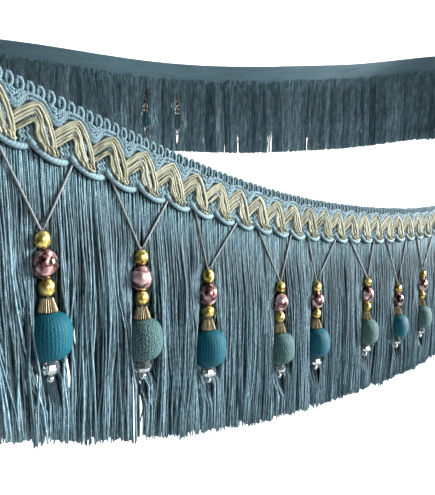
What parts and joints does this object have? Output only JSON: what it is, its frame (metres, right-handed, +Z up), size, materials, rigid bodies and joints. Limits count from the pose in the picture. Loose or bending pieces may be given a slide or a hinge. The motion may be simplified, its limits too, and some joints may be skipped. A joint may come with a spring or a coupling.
{
  "type": "length of beaded bullion fringe trim",
  "caption": "Upholstery trim hanging in a loose turn: scalloped woven heading with a zigzag braid, cut bullion fringe, and bead drops ending in thread-wrapped balls.",
  "frame": {"origin": "the hanging point on the heading's top edge, at the crest of the turn", "axes": "+X to the right and +Y away, as seen by a viewer at the near stretch, +Z up"},
  "size_m": [0.6751, 0.6219, 0.3242],
  "materials": {
    "gimp_blue": "matt woven yarn",
    "braid_cream": "silky cord",
    "fringe_blue": "silky twisted viscose yarn",
    "ball_teal": "matt wound thread",
    "ball_sage": "matt wound thread",
    "drop_thread": "smooth twisted thread",
    "gold_bead": "polished",
    "copper_bead": "glossy marbled",
    "bead_cap": "antiqued",
    "crystal": "clear cut facets"
  },
  "bodies": {
    "root": {"heading_gimp": "gimp_blue", "zigzag_braid": "braid_cream", "fringe_01": "fringe_blue", "fringe_02": "fringe_blue", "fringe_03": "fringe_blue", "fringe_04": "fringe_blue", "fringe_05": "fringe_blue", "fringe_06": "fringe_blue", "fringe_07": "fringe_blue", "fringe_08": "fringe_blue", "fringe_09": "fringe_blue", "fringe_10": "fringe_blue", "fringe_11": "fringe_blue", "fringe_12": "fringe_blue", "fringe_13": "fringe_blue", "fringe_14": "fringe_blue", "fringe_15": "fringe_blue", "fringe_16": "fringe_blue", "fringe_17": "fringe_blue", "fringe_18": "fringe_blue", "drop_01_teal": "ball_teal", "drop_02_sage": "ball_sage", "drop_03_teal": "ball_teal", "drop_04_sage": "ball_sage", "drop_05_teal": "ball_teal", "drop_06_sage": "ball_sage", "drop_07_teal": "ball_teal", "drop_08_sage": "ball_sage", "drop_09_teal": "ball_teal", "drop_10_sage": "ball_sage", "drop_11_teal": "ball_teal", "drop_12_teal": "ball_teal", "drop_13_sage": "ball_sage", "drop_14_teal": "ball_teal", "drop_15_sage": "ball_sage", "drop_16_teal": "ball_teal", "drop_17_sage": "ball_sage", "drop_18_teal": "ball_teal", "drop_19_sage": "ball_sage", "drop_20_teal": "ball_teal", "drop_21_sage": "ball_sage", "drop_22_teal": "ball_teal", "drop_23_sage": "ball_sage", "drop_24_teal": "ball_teal", "drop_25_sage": "ball_sage", "drop_26_teal": "ball_teal", "drop_27_sage": "ball_sage", "drop_28_teal": "ball_teal", "drop_29_sage": "ball_sage", "drop_30_teal": "ball_teal", "drop_31_sage": "ball_sage", "drop_32_teal": "ball_teal", "drop_33_sage": "ball_sage", "drop_34_teal": "ball_teal"}
  },
  "joints": []
}
